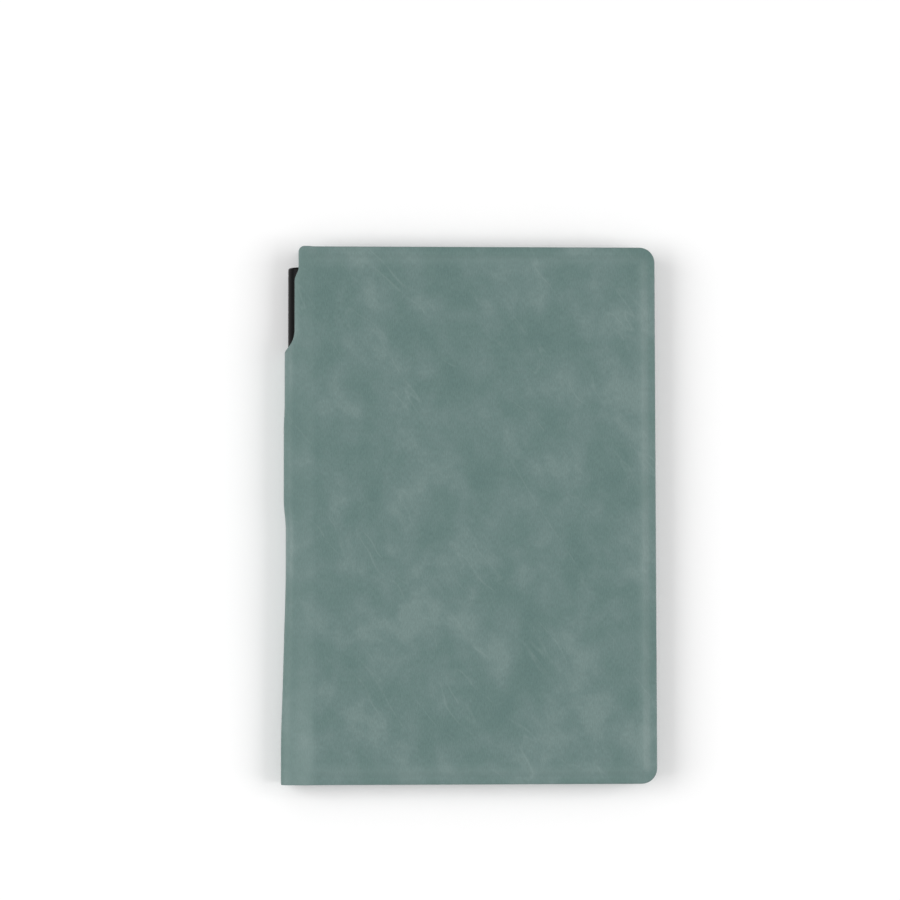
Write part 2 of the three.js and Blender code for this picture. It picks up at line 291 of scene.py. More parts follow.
def columns_between(start, end):
    """Places across a row from start to end, closer together in the fold, at the board's edge
    and at the rim. Only the flap's columns and the rim's shift with the outline."""
    panel_start = board_edge + 3 * MM
    panel_end = fore_edge - 10 * MM
    in_fold = np.linspace(spine_flat, flap_start, 12)
    flap = np.linspace(flap_start, panel_start, 12)[1:]
    panel = np.linspace(panel_start, panel_end, 42)[1:]
    rim = np.linspace(panel_end, fore_edge, 20)[1:]
    places = np.concatenate([[0, spine_flat / 2], in_fold, flap, panel, rim])
    fixed = (0, panel_start, panel_end, fore_edge)
    return np.interp(places, fixed, (start, panel_start, panel_end, end))


def edge_distance(a, y):
    """Distance in from the fore-edge, the top or the bottom, round the fore-edge corners."""
    across = a - (fore_edge - FORE_CORNER)
    along = np.abs(y) - (top_y - FORE_CORNER)
    outside = np.hypot(np.maximum(across, 0), np.maximum(along, 0))
    return FORE_CORNER - outside - np.minimum(np.maximum(across, along), 0)


def leather_outer(a, y):
    """The outer face: flat over the board, with a low ridge where the board ends, sloping down
    to the pressed rim, which a fine crease sets off."""
    on_cover = rise(a, board_edge - 4 * MM, board_edge + 2 * MM)
    distance = edge_distance(a, y)
    slope_start = RIM - RIM_SHARPNESS
    slope = rise(distance, slope_start + RIM_SLOPE, slope_start)
    crease = ridge_at(distance, RIM, CREASE_WIDTH)
    beside_ridge = 1 - ridge_at(distance, RIM + RIM_SLOPE + LOW_RIDGE, LOW_RIDGE_WIDTH)
    fine = CREASE * (crease + 0.5 * beside_ridge * (1 - slope))
    return on_cover * (-rim_drop * slope - fine)


def painted_sheen(a, y):
    """How much painted sheen lightens the leather: a painted highlight on the slope over the
    board's edges, and across the flap, more towards its bottom end."""
    on_cover = rise(a, board_edge - 2 * MM, board_edge + 1 * MM)
    over_edge = ridge_at(edge_distance(a, y), RIM + RIM_SLOPE / 2, 2.4 * MM)
    towards_bottom = rise(y, -50 * MM, -100 * MM)
    across_flap = rise(a, spine_flat, spine_flat + 4 * MM) * (0.35 + 0.65 * towards_bottom)
    return 0.7 * on_cover * over_edge + (1 - on_cover) * across_flap


def beside_board(a):
    """0 on the soft flap and 1 at the board, rising in the step where the board ends."""
    step_end = board_edge - 0.4 * MM
    return rise(a, step_end - BOARD_STEP, step_end)


def leather_inner(a, y):
    """The inner face: one layer deep, and two at the rim where the edge is turned in."""
    at_rim = rise(edge_distance(a, y), RIM + 0.7 * MM, RIM)
    single = leather_outer(a, y) - LEATHER
    return single + (rim_inner - single) * beside_board(a) * at_rim


def outline_of(grid):
    """The point numbers round a grid's outside, in order."""
    return np.concatenate([grid[0, :-1], grid[:-1, -1], grid[-1, :0:-1], grid[:0:-1, 0]])


def faces_of(grid):
    """The four-cornered faces between a grid's points."""
    corners = (grid[:-1, :-1], grid[:-1, 1:], grid[1:, 1:], grid[1:, :-1])
    return np.stack(corners, axis=-1).reshape(-1, 4)


def faces_between(ring, next_ring):
    """The four-cornered faces between two closed rings of points."""
    return np.stack([np.roll(ring, -1), ring, next_ring, np.roll(next_ring, -1)], axis=-1)


def pairs_of(first, second):
    """Edges between two lists of points, as pairs with the lower number first."""
    return {(min(pair), max(pair)) for pair in zip(first.tolist(), second.tolist())}


def outward(a, y, on_middle, ends):
    """Directions out of the skin round its outline. On the spine's middle line, where the two
    halves meet, there is none, but for along the line at its ends."""
    along_a = np.roll(a, -1) - np.roll(a, 1)
    along_y = np.roll(y, -1) - np.roll(y, 1)
    length = np.hypot(along_a, along_y)
    out_a, out_y = along_y / length, -along_a / length
    out_a[on_middle] = 0
    out_y[on_middle] = 0
    out_y[ends] = np.sign(y[ends] + top_y / 2)
    return out_a, out_y


def sharpen_seam(mesh, rings, on_middle, ends):
    """Makes the edges sharp where the two halves meet: along the spine's middle line on both
    faces, and down through the sheet at its two ends."""
    on_line = on_middle & np.roll(on_middle, -1)
    seam = set()
    for ring in (rings[0], rings[-1]):
        seam |= pairs_of(ring[on_line], np.roll(ring, -1)[on_line])
    for upper, lower in zip(rings, rings[1:]):
        seam |= pairs_of(upper[ends], lower[ends])
    for edge in mesh.edges:
        edge.use_edge_sharp = tuple(sorted(edge.vertices)) in seam


def keep_flat_places(mesh, places):
    """Keeps each point's place on the flat sheet, in metres, as a UV map."""
    layer = mesh.uv_layers.new(name="flat")
    corners = np.zeros(len(mesh.loops), np.int32)
    mesh.loops.foreach_get("vertex_index", corners)
    layer.data.foreach_set("uv", places[corners].astype(np.float32).ravel())


def put_in_scene(name, data):
    """An object with the data, in the scene."""
    made = bpy.data.objects.new(name, data)
    bpy.context.scene.collection.objects.link(made)
    return made


def skin(name, side, margin, outer, inner, roll):
    """A closed sheet with rolled edges, drawn flat and then wrapped round the cover and spine.
    margin draws in its three free edges, outer and inner give the heights of its two faces, and
    roll is the radius of its edges."""
    rows = rows_of(margin + roll)
    row_ends = zip(left_edge(rows, roll), right_edge(rows, margin + roll))
    columns = np.array([columns_between(start, end) for start, end in row_ends])
    grid = np.arange(columns.size).reshape(columns.shape)
    loop = outline_of(grid)
    a, y = columns.ravel(), np.repeat(rows, columns.shape[1])
    edge_a, edge_y = a[loop], y[loop]
    on_middle = edge_a < 1e-9
    turns_off = np.roll(on_middle, 1) != np.roll(on_middle, -1)
    ends = on_middle & ((edge_y <= rows[0]) | turns_off)
    out_a, out_y = outward(edge_a, edge_y, on_middle, ends)

    # Layers of points: the outer face, rings down round the rolled edge, and the inner face.
    h_outer, h_inner = outer(a, y), inner(a, y)
    centre = (h_outer[loop] + h_inner[loop]) / 2
    half = (h_outer[loop] - h_inner[loop]) / 2
    layers = [(a, y, h_outer)]
    for step in range(1, EDGE_STEPS):
        turn = math.pi / 2 - math.pi * step / EDGE_STEPS
        out = roll * math.cos(turn)
        layers.append((edge_a + out_a * out, edge_y + out_y * out, centre + half * math.sin(turn)))
    layers.append((a, y, h_inner))

    # Faces on both sides and between the rings, the first and last of which are the outlines.
    starts = np.cumsum([0] + [heights.size for _, _, heights in layers[:-1]])
    between = [start + np.arange(loop.size) for start in starts[1:-1]]
    rings = [loop, *between, starts[-1] + loop]
    faces = [faces_of(grid), starts[-1] + faces_of(grid)[:, ::-1]]
    faces += [faces_between(upper, lower) for upper, lower in zip(rings, rings[1:])]
    faces = np.concatenate(faces)

    all_a, all_y, all_h = (np.concatenate(values) for values in zip(*layers))
    mesh = bpy.data.meshes.new(name)
    points = wrap(all_a, all_y, all_h, side)
    mesh.from_pydata(points.tolist(), [], (faces if side > 0 else faces[:, ::-1]).tolist())
    keep_flat_places(mesh, np.stack([all_a * side, all_y], axis=-1))
    # This attribute holds painted sheen: how much a painted highlight lightens the leather on the
    # rim's slopes and across the flap.
    painted_sheen_share = mesh.attributes.new("painted_sheen", "FLOAT", "POINT")
    painted_sheen_share.data.foreach_set("value", painted_sheen(all_a, all_y).astype(np.float32))
    mesh.shade_smooth()
    sharpen_seam(mesh, rings, on_middle, ends)
    return put_in_scene(name, mesh)


def bend_at_fold(piece, side):
    """Bakes a half skin's placement into its points; the skin is already wrapped round the fold by
    wrap when it is made.
    """
    if side > 0:
        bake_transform(piece)
    else:
        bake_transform(piece)


def calculate(add, operation, *values):
    """A sum on two or three values, each a plain number or a node's output."""
    node = add("ShaderNodeMath", operation=operation)
    for socket, value in zip(node.inputs, values):
        feed(socket, value)
    return node.outputs["Value"]


def layer(add, below, above, share, blend="MIX"):
    """One colour laid over another."""
    node = add(
        "ShaderNodeMix", data_type="RGBA", blend_type=blend, A=below, B=above, Factor=share
    )
    return node.outputs["Result"]


def brushed_leather():
    """Matt polyurethane leather: a cloudy grey-green, rubbed lighter and darker in blotches,
    with an upright brushed grain and a few pale slanting veins."""
    add, dress = new_material("brushed_leather")
    flat = add("ShaderNodeUVMap", uv_map="flat").outputs["UV"]

    def noise(wide, tall, turn=0.0, detail=5.0, rough=0.6, distortion=0.0):
        """Noise whose blotches are wide by tall, in metres of leather, and turned."""
        place = add(
            "ShaderNodeMapping",
            vector_type="TEXTURE",
            Vector=flat,
            Rotation=(0, 0, turn),
            Scale=(wide, tall, 1.0),
        )
        pattern = add(
            "ShaderNodeTexNoise",
            Vector=place.outputs["Vector"],
            Scale=1.0,
            Detail=detail,
            Roughness=rough,
            Distortion=distortion,
        )
        return pattern.outputs["Fac"]

    blotches = noise(18 * MM, 22 * MM, turn=0.3, detail=7.0, rough=0.62, distortion=0.25)
    broad = noise(50 * MM, 62 * MM, turn=-0.4, detail=3.0)
    brushed = noise(0.45 * MM, 1.7 * MM, detail=4.0, rough=0.7)
    cloud = calculate(add, "MULTIPLY", broad, 0.32)
    cloud = calculate(add, "MULTIPLY_ADD", blotches, 0.68, cloud)
    colour = ramp(add, cloud, [
        (0.38, srgb(91, 118, 114)),
        (0.46, srgb(96, 122, 118)),
        (0.53, srgb(102, 126, 123)),
        (0.61, srgb(112, 134, 131)),
    ])
    grain = ramp(add, brushed, [(0.3, 0.85), (0.7, 1.11)])
    colour = layer(add, colour, grain, 1.0, "MULTIPLY")

    crossing = noise(24 * MM, 110 * MM, turn=0.7, detail=3.0, distortion=0.25)
    beside_vein = calculate(add, "ABSOLUTE", calculate(add, "SUBTRACT", crossing, 0.5))
    veins = ramp(add, beside_vein, [(0.0, 0.24), (0.010, 0.0)])
    shown = ramp(add, noise(30 * MM, 30 * MM, rough=0.7), [(0.48, 0.0), (0.60, 1.0)])
    colour = layer(add, colour, srgb(138, 156, 153), calculate(add, "MULTIPLY", veins, shown))

    # Painted sheen: the skin's attribute lays a paler grey-green over the colour, a painted
    # highlight on the rim's slopes and across the flap.
    painted_sheen_share = add("ShaderNodeAttribute", attribute_name="painted_sheen").outputs["Fac"]
    colour = layer(add, colour, srgb(134, 154, 151), calculate(add, "MULTIPLY", painted_sheen_share, 0.30))

    pores = add("ShaderNodeTexVoronoi", Vector=flat, Scale=1100.0).outputs["Distance"]
    fine = calculate(add, "ADD", pores, brushed)
    relief = calculate(add, "MULTIPLY_ADD", cloud, 2.0, fine)
    return dress({
        "Base Color": colour,
        "Roughness": ramp(add, cloud, [(0.40, 0.60), (0.60, 0.48)]),
        "Specular IOR Level": 0.4,
        "Sheen Weight": 0.10,
        "Sheen Roughness": 0.5,
        "Normal": bump(add, relief, strength=0.35, distance=0.06 * MM),
    })


leather_material = brushed_leather()
for side, cover, replaced in (
    (1, "front", ("front_cover_leather", "spine_leather")),
    (-1, "back", ("back_cover_leather",)),
):
    half = skin(f"{cover}_half_of_leather", side, 0.0, leather_outer, leather_inner, LEATHER / 2)
    half.data.materials.append(leather_material)
    bend_at_fold(half, side)
    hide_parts(*replaced)


# The lining: one thin sheet of black leathercloth that covers the boards' inner faces, the
# turned-in rim and the soft spine, glued down all over. It shows as the black border round
# each whiteboard and as the wide black band between them.

LINING = 0.5 * MM
LINING_INSET = 1.0 * MM


def lining_outer(a, y):
    """The glued face: on the leather at the spine and flap, and up on the board beyond."""
    return -LEATHER + (rim_inner + LEATHER) * beside_board(a)


def lining_inner(a, y):
    """The face that is seen, on the inside of the notebook."""
    return lining_outer(a, y) - LINING


def leathercloth():
    """Black leathercloth: a fine pebbled grain, nearly matt."""
    add, dress = new_material("black_leathercloth")
    flat = add("ShaderNodeUVMap", uv_map="flat").outputs["UV"]
    pebbles = add("ShaderNodeTexVoronoi", feature="SMOOTH_F1", Vector=flat, Scale=1400.0)
    pebbles = pebbles.outputs["Distance"]
    worn = add("ShaderNodeTexNoise", Vector=flat, Scale=60.0, Detail=5.0).outputs["Fac"]
    return dress({
        "Base Color": ramp(add, worn, [(0.35, srgb(24, 24, 25)), (0.7, srgb(38, 38, 40))]),
        "Roughness": ramp(add, pebbles, [(0.0, 0.48), (0.6, 0.68)]),
        "Specular IOR Level": 0.4,
        "Normal": bump(add, pebbles, strength=0.5, distance=0.08 * MM),
    })


lining_material = leathercloth()
for side, cover, replaced in (
    (1, "front", ("front_cover_lining", "spine_lining")),
    (-1, "back", ("back_cover_lining",)),
):
    sizes = (LINING_INSET, lining_outer, lining_inner, LINING / 2)
    half = skin(f"{cover}_half_of_lining", side, *sizes)
    half.data.materials.append(lining_material)
    bend_at_fold(half, side)
    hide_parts(*replaced)


# The whiteboards: stiff panels faced with a glossy white writing film, with round corners and
# slightly eased edges, glued on the lining so that a black border shows all round.

WHITEBOARD_CORNER = 5.0 * MM
WHITEBOARD_EASE = 0.18 * MM
EASE_STEPS = 3


def rounded_outline(low, high, corner, steps=10):
    """Points round a rectangle with round corners, counter-clockwise."""
    points = []
    centres = (
        (high.x - corner, high.y - corner, 0.0),
        (low.x + corner, high.y - corner, 0.5),
        (low.x + corner, low.y + corner, 1.0),
        (high.x - corner, low.y + corner, 1.5),
    )
    for x, y, first in centres:
        for i in range(steps + 1):
            turn = math.pi * (first + 0.5 * i / steps)
            points.append((x + corner * math.cos(turn), y + corner * math.sin(turn)))
    return points


def finish_mesh(name, build):
    """An object from a finished bmesh, in the scene."""
    mesh = bpy.data.meshes.new(name)
    build.to_mesh(mesh)
    build.free()
    return put_in_scene(name, mesh)


def eased_panel(name, low, high, corner, ease):
    """A flat panel with round corners and eased edges, as stacked outlines."""
    build = bmesh.new()
    levels = []
    turns = [math.pi / 2 * i / EASE_STEPS for i in range(EASE_STEPS + 1)]
    lower = [(ease * (1 - math.sin(t)), low.z + ease * (1 - math.cos(t))) for t in turns]
    upper = [(inset, low.z + high.z - z) for inset, z in reversed(lower)]
    for inset, z in lower + upper:
        edge = Vector((inset, inset, 0))
        outline = rounded_outline(low + edge, high - edge, corner - inset)
        levels.append([build.verts.new((x, y, z)) for x, y in outline])
    count = len(levels[0])
    for below, above in zip(levels, levels[1:]):
        for i in range(count):
            k = (i + 1) % count
            build.faces.new((below[i], below[k], above[k], above[i]))
    build.faces.new(levels[0][::-1])
    build.faces.new(levels[-1])
    for face in build.faces:
        face.smooth = len(face.verts) == 4  # all but the two flat faces
    return finish_mesh(name, build)


def writing_film():
    """Glossy white writing film with the faint waviness of a laminated sheet."""
    add, dress = new_material("writing_film")
    place = add("ShaderNodeTexCoord").outputs["Object"]
    wave = add("ShaderNodeTexNoise", Vector=place, Scale=55.0, Detail=2.0).outputs["Fac"]
    ghosts = add("ShaderNodeTexNoise", Vector=place, Scale=18.0, Detail=6.0, Distortion=2.0)
    ghosts = ghosts.outputs["Fac"]
    return dress({
        "Base Color": ramp(add, ghosts, [(0.3, srgb(240, 241, 241)), (0.7, srgb(247, 248, 247))]),
        "Roughness": ramp(add, ghosts, [(0.4, 0.10), (0.8, 0.17)]),
        "Coat Weight": 0.6,
        "Coat Roughness": 0.06,
        "Normal": bump(add, wave, strength=0.06, distance=0.05 * MM),
    })


film_material = writing_film()
for cover in ("back", "front"):
    low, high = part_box(f"{cover}_whiteboard")
    panel = eased_panel(f"{cover}_writing_board", low, high, WHITEBOARD_CORNER, WHITEBOARD_EASE)
    panel.data.materials.append(film_material)
    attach(panel, f"{cover}_cover")
    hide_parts(f"{cover}_whiteboard")


# The pen loop: a ring of black ribbed elastic webbing round the marker's barrel, pressed flat
# where it is glued on the spine lining.

loop_low, loop_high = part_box("pen_loop")
barrel_low, barrel_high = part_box("marker_barrel")
marker_x = (barrel_low.x + barrel_high.x) / 2
marker_z = (barrel_low.z + barrel_high.z) / 2
BARREL_CLEARANCE = 0.3 * MM
loop_bore = (barrel_high.x - barrel_low.x) / 2 + BARREL_CLEARANCE
loop_outer = loop_high.x - marker_x
LOOP_BASE = 3.1 * MM  # half the height of the flat base
LOOP_FLARE = 1.35  # the base runs out into the round at this many times its height
LOOP_RIBS = 22
RIB_DEPTH = 0.05 * MM
LOOP_END_ROUND = 0.16 * MM


def about_marker(radius, turn, y):
    """The place at height y and this radius from the marker's axis."""
    return marker_x + radius * math.cos(turn), y, marker_z + radius * math.sin(turn)


def loop_outside(turn):
    """Radius of the band's outside: round, but flat towards the spine."""
    height = abs(math.tan(turn)) * loop_outer
    if math.cos(turn) >= 0 or height >= LOOP_BASE * LOOP_FLARE:
        return loop_outer
    if height < LOOP_BASE:
        return loop_outer / -math.cos(turn)
    share = (height - LOOP_BASE) / (LOOP_BASE * LOOP_FLARE - LOOP_BASE)
    corner = math.hypot(loop_outer, LOOP_BASE)
    return corner + (loop_outer - corner) * share


def elastic_band():
    """The band as rings of points: outside and back through the bore, ribbed along its width."""
    around = 112
    across = LOOP_RIBS * 4
    turns = [2 * math.pi * i / around for i in range(around)]
    build = bmesh.new()

    def set_back(step):
        """Depth below the ribs' tops at a step of the width, more at the two ends."""
        rib = 0.5 + 0.5 * math.cos(2 * math.pi * LOOP_RIBS * step / across)
        return RIB_DEPTH * rib + (LOOP_END_ROUND if step in (0, across) else 0)

    def ring(step, radii):
        y = loop_low.y + (loop_high.y - loop_low.y) * step / across
        places = [about_marker(radius, turn, y) for radius, turn in zip(radii, turns)]
        return [build.verts.new(place) for place in places]

    rings = []
    for step in range(across + 1):
        rings.append(ring(step, [loop_outside(turn) - set_back(step) for turn in turns]))
    for step in range(across, -1, -1):
        rings.append(ring(step, [loop_bore + set_back(step)] * around))
    for first, second in zip(rings, rings[1:] + rings[:1]):
        for i in range(around):
            j = (i + 1) % around
            build.faces.new((first[i], second[i], second[j], first[j]))
    bmesh.ops.recalc_face_normals(build, faces=build.faces)
    made = finish_mesh("elastic_pen_loop", build)
    made.data.shade_smooth()
    return made


def ribbed_elastic():
    """Black elastic webbing: the cords run round the band, crossed by fine weft threads."""
    add, dress = new_material("ribbed_elastic")
    place = add("ShaderNodeTexCoord").outputs["Object"]
    threads = add(
        "ShaderNodeTexWave",
        wave_type="BANDS",
        bands_direction="Z",
        Vector=place,
        Scale=520.0,
        Distortion=1.2,
    ).outputs["Fac"]
    fuzz = add("ShaderNodeTexNoise", Vector=place, Scale=2600.0, Detail=3.0).outputs["Fac"]
    height = calculate(add, "ADD", threads, fuzz)
    return dress({
        "Base Color": ramp(add, threads, [(0.2, srgb(16, 16, 17)), (0.8, srgb(40, 40, 42))]),
        "Roughness": 0.85,
        "Sheen Weight": 0.3,
        "Normal": bump(add, height, strength=0.5, distance=0.08 * MM),
    })


band = elastic_band()
band.data.materials.append(ribbed_elastic())
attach(band, "spine")
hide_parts("pen_loop")


# The marker's barrel: a drawn white plastic tube, open at both ends, that narrows a little at
# its lower end, where the plug goes in. It is pushed through the pen loop.

def turned(name, profile, around=96):
    """A turned piece on the marker's axis. profile lists (radius, y) round its section."""
    build = bmesh.new()
    turns = [2 * math.pi * i / around for i in range(around)]
    rings = []
    for radius, y in profile:
        used = turns if radius > 0 else turns[:1]
        rings.append([build.verts.new(about_marker(radius, turn, y)) for turn in used])
    pairs = list(zip(rings, rings[1:]))
    if len(rings[0]) > 1:
        pairs.append((rings[-1], rings[0]))
    for first, second in pairs:
        for i in range(around):
            j = (i + 1) % around
            corners = [first[i % len(first)], first[j % len(first)],
                       second[j % len(second)], second[i % len(second)]]
            build.faces.new(dict.fromkeys(corners))  # three corners beside the axis
    bmesh.ops.recalc_face_normals(build, faces=build.faces)
    made = finish_mesh(name, build)
    made.data.shade_smooth()
    made.data.set_sharp_from_angle(angle=math.radians(38))
    return made


def arc(radius, y, size, first, last, steps=6):
    """Points of a rounded edge about (radius, y), from angle first to last in degrees."""
    turns = [math.radians(first + (last - first) * i / steps) for i in range(steps + 1)]
    return [(radius + size * math.cos(t), y + size * math.sin(t)) for t in turns]


def moulded_plastic(name, colour, rough, specular, lighter):
    """Moulded plastic: nearly even in colour and shine, with the faint waviness that its flow
    into the mould leaves."""
    add, dress = new_material(name)
    place = add("ShaderNodeTexCoord").outputs["Object"]
    flow = add("ShaderNodeTexNoise", Vector=place, Scale=160.0, Detail=4.0, Distortion=1.0)
    flow = flow.outputs["Fac"]
    red, green, blue, alpha = colour
    light = (red * lighter, green * lighter, blue * lighter, alpha)
    return dress({
        "Base Color": ramp(add, flow, [(0.35, colour), (0.75, light)]),
        "Roughness": ramp(add, flow, [(0.35, rough), (0.8, rough + 0.1)]),
        "Specular IOR Level": specular,
        "Normal": bump(add, flow, strength=0.05, distance=0.05 * MM),
    })


white_plastic = moulded_plastic(
    "white_barrel_plastic", srgb(236, 233, 225), rough=0.28, specular=0.5, lighter=1.03
)
black_plastic = moulded_plastic(
    "black_cap_plastic", srgb(9, 9, 10), rough=0.30, specular=0.09, lighter=1.25
)

BARREL_WALL = 0.7 * MM
barrel_radius = (barrel_high.x - barrel_low.x) / 2
barrel_bore = barrel_radius - BARREL_WALL
plug_low, plug_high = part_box("marker_end_plug")
plug_radius = (plug_high.x - plug_low.x) / 2
EDGE = 0.12 * MM  # radius of a small rounded edge
TAPER_LENGTH = 2.0 * MM

barrel = turned("marker_white_barrel", [
    (barrel_bore, barrel_low.y),
    (barrel_bore, barrel_high.y),
    *arc(barrel_radius - EDGE, barrel_high.y - EDGE, EDGE, 90, 0, 3),
    (barrel_radius, barrel_low.y + TAPER_LENGTH),
    (plug_radius, barrel_low.y + EDGE),
    (plug_radius - EDGE, barrel_low.y),
])
barrel.data.materials.append(white_plastic)
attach(barrel, "marker")
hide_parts("marker_barrel")


# The ink rod: a straight rod of bonded polyester fibre, soaked with black ink, that lies in the
# barrel behind the nib. It can't be seen and is plain, so it keeps its shape.

def ink_fibre():
    """Bonded polyester fibre, dark with ink, its strands lying along the rod."""
    add, dress = new_material("inked_fibre")
    place = add("ShaderNodeTexCoord").outputs["Object"]
    drawn_out = add("ShaderNodeMapping", Vector=place, Scale=(1.0, 0.06, 1.0)).outputs["Vector"]
    strands = add("ShaderNodeTexNoise", Vector=drawn_out, Scale=4200.0, Detail=4.0).outputs["Fac"]
    return dress({
        "Base Color": ramp(add, strands, [(0.35, srgb(26, 26, 32)), (0.7, srgb(74, 74, 86))]),
        "Roughness": 0.95,
        "Normal": bump(add, strands, strength=0.5, distance=0.06 * MM),
    })


finish_node("marker_ink_reservoir", ink_fibre())


# The end plug: a black moulded stopper pressed into the barrel, with a rounded end, a dimple in
# it and a fine groove just before it meets the tube.

PLUG_HEAD = 5.0 * MM
PLUG_ROUND = 1.2 * MM
PLUG_DIMPLE = 0.25 * MM
PLUG_GROOVE_AT = (3.85 * MM,)  # up from the plug's end
PLUG_GROOVE_DEPTH = 0.15 * MM
FIT = 0.3 * MM  # gap round a part that is pushed into another
spigot = barrel_bore - FIT


def rings_at(radius, start, places, change, width, flat):
    """Fine rings round a turned piece, at these places up from start: ridges where change is
    above 0, else grooves. width is a ring's whole width, and flat is that of its top or floor."""
    points = []
    for place in places:
        y = start + place
        points += [(radius, y - width / 2), (radius + change, y - flat / 2),
                   (radius + change, y + flat / 2), (radius, y + width / 2)]
    return points


plug = turned("marker_black_plug", [
    (0, plug_low.y + PLUG_DIMPLE),
    (plug_radius * 0.45, plug_low.y + PLUG_DIMPLE * 0.8),
    (plug_radius * 0.55, plug_low.y),
    *arc(plug_radius - PLUG_ROUND, plug_low.y + PLUG_ROUND, PLUG_ROUND, -90, 0),
    *rings_at(
        plug_radius, plug_low.y, PLUG_GROOVE_AT, -PLUG_GROOVE_DEPTH, width=0.7 * MM, flat=0.3 * MM
    ),
    (plug_radius, plug_low.y + PLUG_HEAD),
    (spigot, plug_low.y + PLUG_HEAD),
    (spigot, plug_high.y - EDGE),
    (spigot - EDGE, plug_high.y),
    (0, plug_high.y),
])
plug.data.materials.append(black_plastic)
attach(plug, "marker")
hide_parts("marker_end_plug")


# The nose: a black moulded cone that is pressed into the barrel's front end and guides the
# nib. Fine rings round its shoulder let the cap snap on.

nose_low, nose_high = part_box("marker_nose")
nose_radius = (nose_high.x - nose_low.x) / 2
nib_low, nib_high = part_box("marker_nib")
nib_radius = (nib_high.x - nib_low.x) / 2
NOSE_TIP = 2.1 * MM
NOSE_TIP_EASE = 0.3 * MM
NOSE_CONE = 9.0 * MM
NOSE_SHOULDER = 3.4 * MM
SPIGOT_LENGTH = 8.3 * MM
SNAP_RING = 0.12 * MM
SNAP_RINGS_AT = (1.2 * MM, 4.0 * MM)  # up from the collar's lower edge
shoulder_y = nose_high.y - NOSE_CONE
collar_y = nose_low.y + SPIGOT_LENGTH
collar_radius = nose_radius - SNAP_RING
nose_round = collar_radius - NOSE_SHOULDER

nose = turned("marker_black_nose", [
    (nib_radius + FIT, nose_high.y),
    (nib_radius + FIT, nose_low.y),
    (spigot, nose_low.y),
    (spigot, collar_y),
    *rings_at(
        collar_radius, collar_y, SNAP_RINGS_AT, SNAP_RING, width=1.0 * MM, flat=0.4 * MM
    ),
    *arc(NOSE_SHOULDER, shoulder_y - nose_round, nose_round, 0, 90),
    (NOSE_TIP + NOSE_TIP_EASE / 2, nose_high.y - NOSE_TIP_EASE),
    (NOSE_TIP - NOSE_TIP_EASE / 3, nose_high.y),
])
nose.data.materials.append(black_plastic)
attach(nose, "marker")
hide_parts("marker_nose")


# The nib: a bullet of pressed black felt, ground round at its tip. It is held in the nose's
# bore, and its tail stands in the ink rod.

def felt():
    """Pressed felt, black with ink."""
    add, dress = new_material("black_felt")
    place = add("ShaderNodeTexCoord").outputs["Object"]
    fibres = add("ShaderNodeTexNoise", Vector=place, Scale=5200.0, Detail=5.0, Roughness=0.7)
    fibres = fibres.outputs["Fac"]
    return dress({
        "Base Color": ramp(add, fibres, [(0.3, srgb(14, 14, 16)), (0.75, srgb(44, 44, 48))]),
        "Roughness": 1.0,
        "Normal": bump(add, fibres, strength=0.6, distance=0.08 * MM),
    })


NIB_TIP = 2.4 * MM
TIP_STEPS = 10
FULLNESS = 0.8  # below 1, so the tip is a little fuller than half an ellipse
tip_start = nib_high.y - NIB_TIP
bullet = []
for i in range(TIP_STEPS):
    turn = math.pi / 2 * i / TIP_STEPS
    tip_radius = nib_radius * math.cos(turn) ** FULLNESS
    bullet.append((tip_radius, tip_start + NIB_TIP * math.sin(turn)))
nib_profile = [(0, nib_low.y), (nib_radius, nib_low.y), *bullet, (0, nib_high.y)]
nib = turned("marker_felt_nib", nib_profile, 48)
nib.data.materials.append(felt())
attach(nib, "marker")
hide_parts("marker_nib")


# The cap: a smooth black moulded tube with a closed end, which has a rounded edge and a flat
# dimple, and two fine grooves round its mouth. It snaps over the nose's rings.

cap_low, cap_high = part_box("marker_cap")
cap_radius = (cap_high.x - cap_low.x) / 2
CAP_WALL = 0.7 * MM
CAP_END = 1.4 * MM
CAP_ROUND = 0.8 * MM
CAP_DIMPLE = 0.2 * MM
CAP_GROOVES_AT = (3.0 * MM, 4.6 * MM)  # up from the mouth
CAP_GROOVE_DEPTH = 0.13 * MM
CAP_CHAMFER = 0.3 * MM  # at the inner end of the bore
cap_bore = cap_radius - CAP_WALL
mouth = 2 * EDGE  # radius of the mouth's rounded edge

cap = turned("marker_black_cap", [
    (0, cap_high.y - CAP_END),
    (cap_bore - CAP_CHAMFER, cap_high.y - CAP_END),
    (cap_bore, cap_high.y - CAP_END - CAP_CHAMFER),
    (cap_bore, cap_low.y + EDGE),
    *arc(cap_radius - mouth, cap_low.y + mouth, mouth, -90, 0, 4),
    *rings_at(
        cap_radius, cap_low.y, CAP_GROOVES_AT, -CAP_GROOVE_DEPTH, width=0.7 * MM, flat=0.36 * MM
    ),
    *arc(cap_radius - CAP_ROUND, cap_high.y - CAP_ROUND, CAP_ROUND, 0, 90, 8),
    (cap_radius * 0.62, cap_high.y - CAP_DIMPLE * 0.1),
    (cap_radius * 0.58, cap_high.y - CAP_DIMPLE * 0.9),
    (0, cap_high.y - CAP_DIMPLE),
])
cap.data.materials.append(black_plastic)
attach(cap, "marker_cap")
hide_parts("marker_cap")


# The cap's inner seal: a short sleeve of white plastic, pressed into the cap's closed end. It
# fits over the nose's tip, so that the nib doesn't dry out. It is plain and keeps its shape.

finish_node("marker_cap_seal", white_plastic)


# The eraser cloth: a square of pale pink microfibre with cut edges, folded once from left to
# right and once from bottom to top, and laid loose between the whiteboards.

